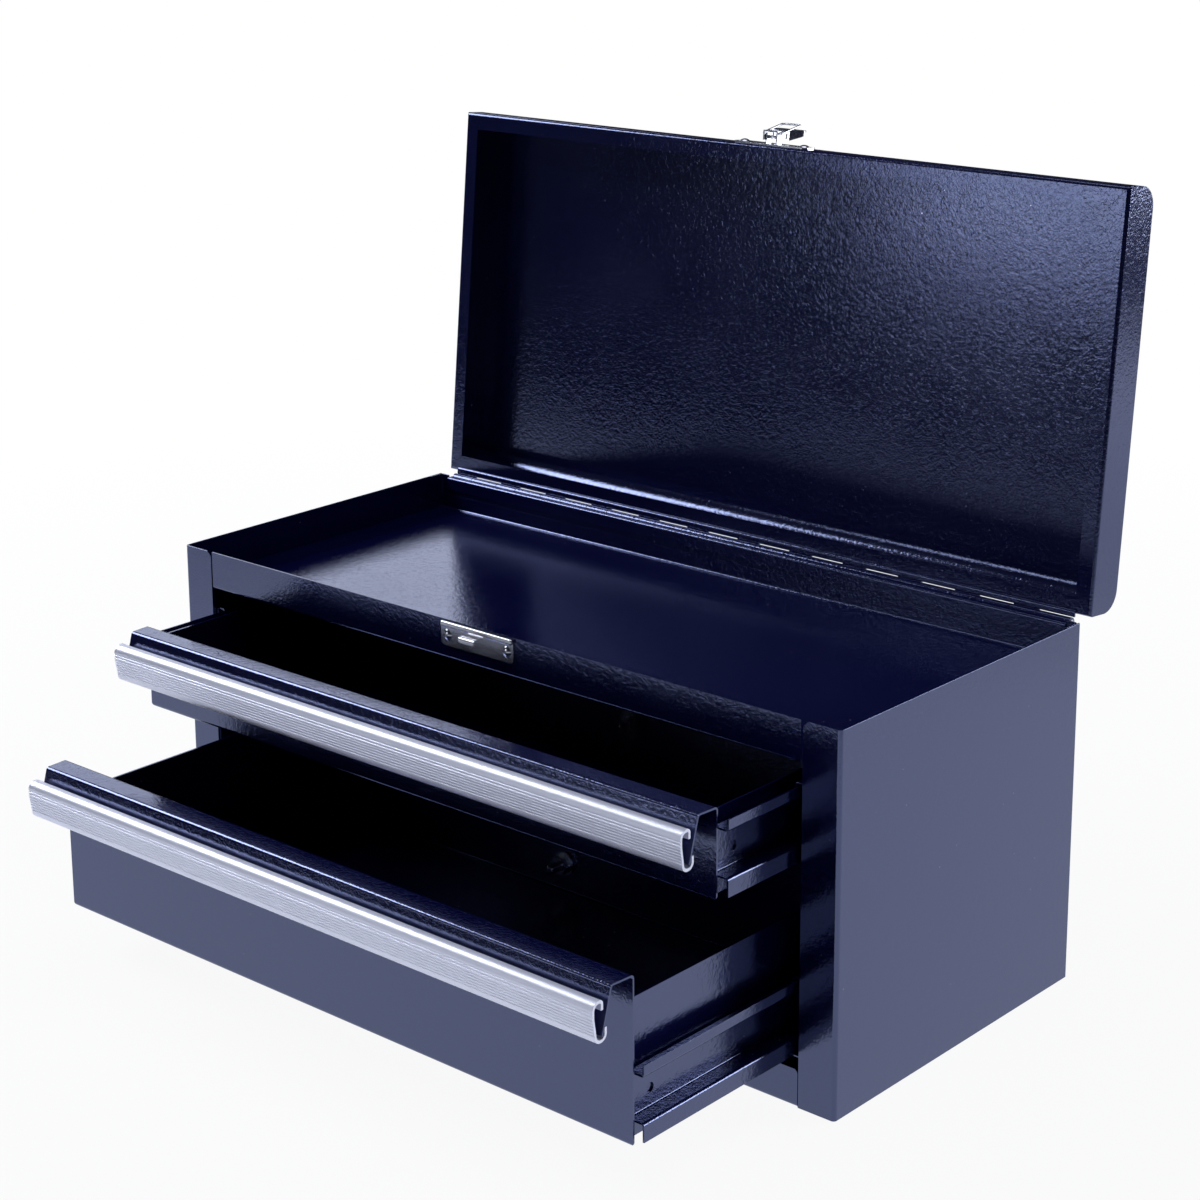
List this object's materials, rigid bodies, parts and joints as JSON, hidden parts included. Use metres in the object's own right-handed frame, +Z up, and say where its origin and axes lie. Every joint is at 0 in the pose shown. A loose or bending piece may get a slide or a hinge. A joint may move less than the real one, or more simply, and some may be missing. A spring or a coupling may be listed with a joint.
{
  "type": "machinist tool chest",
  "caption": "Sheet-steel bench tool chest with a lidded top till on a piano hinge, a draw latch and drawers with hooded, full-width aluminium pulls.",
  "frame": {"origin": "middle of the cabinet's flat underside, on the surface it stands on", "axes": "+X to the right seen from the front, the front faces -Y, +Z up"},
  "size_m": [0.4746, 0.4116, 0.4417],
  "materials": {
    "black_powder_coat": "semi-gloss black powder coat with a leather grain",
    "satin_aluminium": "clear-anodised satin extrusion with fine flutes",
    "bright_nickel": "bright nickel plate",
    "zinc_steel": "bright zinc plate"
  },
  "bodies": {
    "cabinet": {"right_side_panel": "black_powder_coat", "left_side_panel": "black_powder_coat", "back_panel": "black_powder_coat", "bottom_pan": "black_powder_coat", "right_slide_liner": "black_powder_coat", "left_slide_liner": "black_powder_coat", "till_tray": "black_powder_coat", "hinge_cabinet_leaf": "black_powder_coat", "hinge_pin": "zinc_steel", "strike_plate": "bright_nickel", "strike_rivets": "bright_nickel", "upper_right_runner": "black_powder_coat", "upper_left_runner": "black_powder_coat", "lower_right_runner": "black_powder_coat", "lower_left_runner": "black_powder_coat"},
    "lid": {"lid_wrap": "black_powder_coat", "right_lid_end": "black_powder_coat", "left_lid_end": "black_powder_coat", "hinge_lid_leaf": "black_powder_coat", "latch_base": "bright_nickel", "latch_base_rivets": "bright_nickel", "latch_lever_pin": "bright_nickel"},
    "latch_lever": {"latch_lever": "bright_nickel"},
    "latch_bail": {"latch_bail": "bright_nickel"},
    "upper_drawer": {"upper_drawer_tray": "black_powder_coat", "upper_drawer_right_side": "black_powder_coat", "upper_drawer_left_side": "black_powder_coat", "upper_drawer_right_hat_slide": "black_powder_coat", "upper_drawer_left_hat_slide": "black_powder_coat", "upper_drawer_pull": "satin_aluminium", "upper_drawer_rear_bolt": "zinc_steel", "upper_drawer_bolt_washer": "zinc_steel", "upper_drawer_bolt_nut": "zinc_steel"},
    "lower_drawer": {"lower_drawer_tray": "black_powder_coat", "lower_drawer_right_side": "black_powder_coat", "lower_drawer_left_side": "black_powder_coat", "lower_drawer_right_hat_slide": "black_powder_coat", "lower_drawer_left_hat_slide": "black_powder_coat", "lower_drawer_pull": "satin_aluminium", "lower_drawer_rear_bolt": "zinc_steel", "lower_drawer_bolt_washer": "zinc_steel", "lower_drawer_bolt_nut": "zinc_steel"}
  },
  "joints": [
    {"name": "lid_hinge", "type": "hinge", "parent": "cabinet", "child": "lid", "pos_m": [0, 0.1108, 0.2002], "axis": [1, 0, 0], "range_deg": [0, 95.5]},
    {"name": "latch_lever_pivot", "type": "hinge", "parent": "lid", "child": "latch_lever", "pos_m": [0, 0.14431, 0.43557], "axis": [-1, 0, 0], "range_deg": [-35, 0]},
    {"name": "latch_bail_pivot", "type": "hinge", "parent": "latch_lever", "child": "latch_bail", "pos_m": [0, 0.14238, 0.43797], "axis": [1, 0, 0], "range_deg": [0, 218.6]},
    {"name": "upper_drawer_slide", "type": "slide", "parent": "cabinet", "child": "upper_drawer", "axis": [0, -1, 0], "range_m": [-0.0547, 0.0953]},
    {"name": "lower_drawer_slide", "type": "slide", "parent": "cabinet", "child": "lower_drawer", "axis": [0, -1, 0], "range_m": [-0.1158, 0.0342]}
  ]
}
